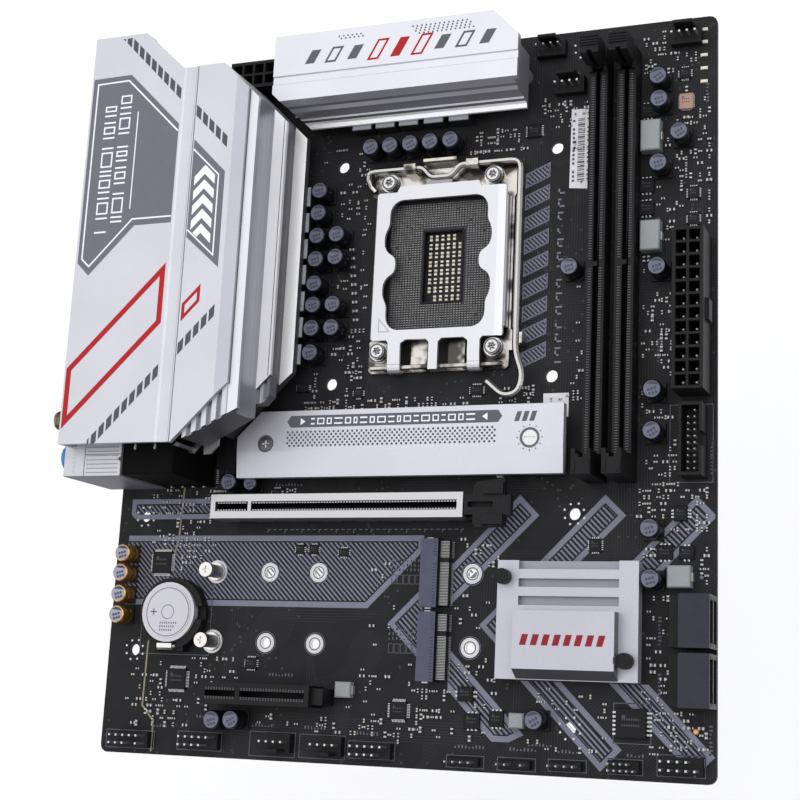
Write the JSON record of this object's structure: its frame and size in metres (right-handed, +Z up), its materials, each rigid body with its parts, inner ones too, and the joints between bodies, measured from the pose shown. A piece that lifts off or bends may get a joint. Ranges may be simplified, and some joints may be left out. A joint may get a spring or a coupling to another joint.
{
  "type": "desktop computer motherboard",
  "caption": "Micro-ATX circuit board with processor socket, two memory slots, expansion and drive slots, silver heatsinks and an angled silver cover over the rear connectors.",
  "frame": {"origin": "centre of the circuit board's underside", "axes": "+X from the rear connector edge to the memory side, +Y from the expansion-slot end to the processor-power end, +Z up out of the component side"},
  "size_m": [0.2211, 0.2444, 0.0421],
  "materials": {
    "laminate": "black solder mask over glass-fibre laminate, grey-lavender print",
    "black_plastic": "black moulded nylon",
    "slate_plastic": "slate moulded plastic",
    "chip_plastic": "dark grey moulding",
    "silver_alloy": "fine-blasted silver anodised aluminium",
    "bright_steel": "bright nickel-plated steel",
    "nickel": "nickel plate, polished",
    "zinc": "plated steel shell",
    "gold": "gold-plated brass",
    "cell_steel": "stamped stainless cell can"
  },
  "bodies": {
    "board": {"pcb": "laminate", "socket_backplate": "zinc", "cpu_socket": "chip_plastic", "ilm_frame": "nickel", "ilm_screw_1": "bright_steel", "ilm_screw_2": "bright_steel", "ilm_screw_3": "bright_steel", "ilm_screw_4": "bright_steel", "io_cover": "silver_alloy", "vrm_heatsink_left": "silver_alloy", "vrm_heatsink_top": "silver_alloy", "chipset": "chip_plastic", "chipset_heatsink": "silver_alloy", "push_pin_1": "black_plastic", "push_pin_2": "black_plastic", "dimm_slot_1": "black_plastic", "dimm_slot_2": "black_plastic", "atx_connector": "black_plastic", "eps_connector": "black_plastic", "usb3_header": "black_plastic", "sata_block_1": "black_plastic", "sata_block_2": "black_plastic", "pcie_x16_slot": "black_plastic", "pcie_x16_armor": "bright_steel", "pcie_x4_slot": "black_plastic", "m2_post_1": "nickel", "m2_post_2": "nickel", "m2_connector_1": "slate_plastic", "m2_connector_2": "slate_plastic", "m2_connector_3": "slate_plastic", "m2_standoff_2": "nickel", "m2_standoff_3": "nickel", "m2_screw_2": "bright_steel", "m2_screw_3": "bright_steel", "battery_holder": "black_plastic", "battery_clip": "nickel", "audio_jacks": "zinc", "wireless_module": "gold", "network_stack": "zinc", "usb_stack_1": "zinc", "usb_stack_2": "zinc", "usb_stack_3": "zinc", "display_stack": "zinc", "cpu_fan_header": "black_plastic", "corner_fan_header": "black_plastic", "system_fan_header_1": "black_plastic", "system_fan_header_2": "black_plastic", "audio_header": "black_plastic", "serial_header": "black_plastic", "usb2_header": "black_plastic", "front_panel_header": "black_plastic"},
    "load_plate": {"load_plate": "bright_steel"},
    "load_lever": {"load_lever": "nickel"},
    "dimm_latch_1": {"dimm_latch_1": "black_plastic"},
    "dimm_latch_2": {"dimm_latch_2": "black_plastic"},
    "pcie_x16_latch": {"pcie_x16_latch": "black_plastic"},
    "m2_heatsink": {"m2_heatsink": "silver_alloy", "m2_heatsink_screw": "bright_steel"},
    "m2_lock_knob": {"m2_lock_knob": "bright_steel"},
    "coin_cell": {"coin_cell": "cell_steel"}
  },
  "joints": [
    {"name": "load_lever_hinge", "type": "hinge", "parent": "board", "child": "load_lever", "pos_m": [0.013, 0.07628, 0.0061], "axis": [-1, 0, 0], "range_deg": [0, 115]},
    {"name": "load_plate_hinge", "type": "hinge", "parent": "board", "child": "load_plate", "pos_m": [0.0124, 0.00668, 0.0056], "axis": [1, 0, 0], "range_deg": [0, 100]},
    {"name": "dimm_latch_1_hinge", "type": "hinge", "parent": "board", "child": "dimm_latch_1", "pos_m": [0.06735, 0.10758, 0.0061], "axis": [-1, 0, 0], "range_deg": [0, 32]},
    {"name": "dimm_latch_2_hinge", "type": "hinge", "parent": "board", "child": "dimm_latch_2", "pos_m": [0.0769, 0.10758, 0.0061], "axis": [-1, 0, 0], "range_deg": [0, 32]},
    {"name": "x16_latch_hinge", "type": "hinge", "parent": "board", "child": "pcie_x16_latch", "pos_m": [0.029, -0.04022, 0.0046], "axis": [0, 1, 0], "range_deg": [0, 15]},
    {"name": "m2_heatsink_lift", "type": "slide", "parent": "board", "child": "m2_heatsink", "axis": [0, 0, 1], "range_m": [0, 0.01]},
    {"name": "m2_lock_turn", "type": "hinge", "parent": "m2_heatsink", "child": "m2_lock_knob", "pos_m": [0.0475, -0.01882, 0.0096], "axis": [0, 0, 1], "range_deg": [-90, 0]},
    {"name": "coin_cell_lift", "type": "slide", "parent": "board", "child": "coin_cell", "axis": [0, 0, 1], "range_m": [0, 0.04]}
  ]
}
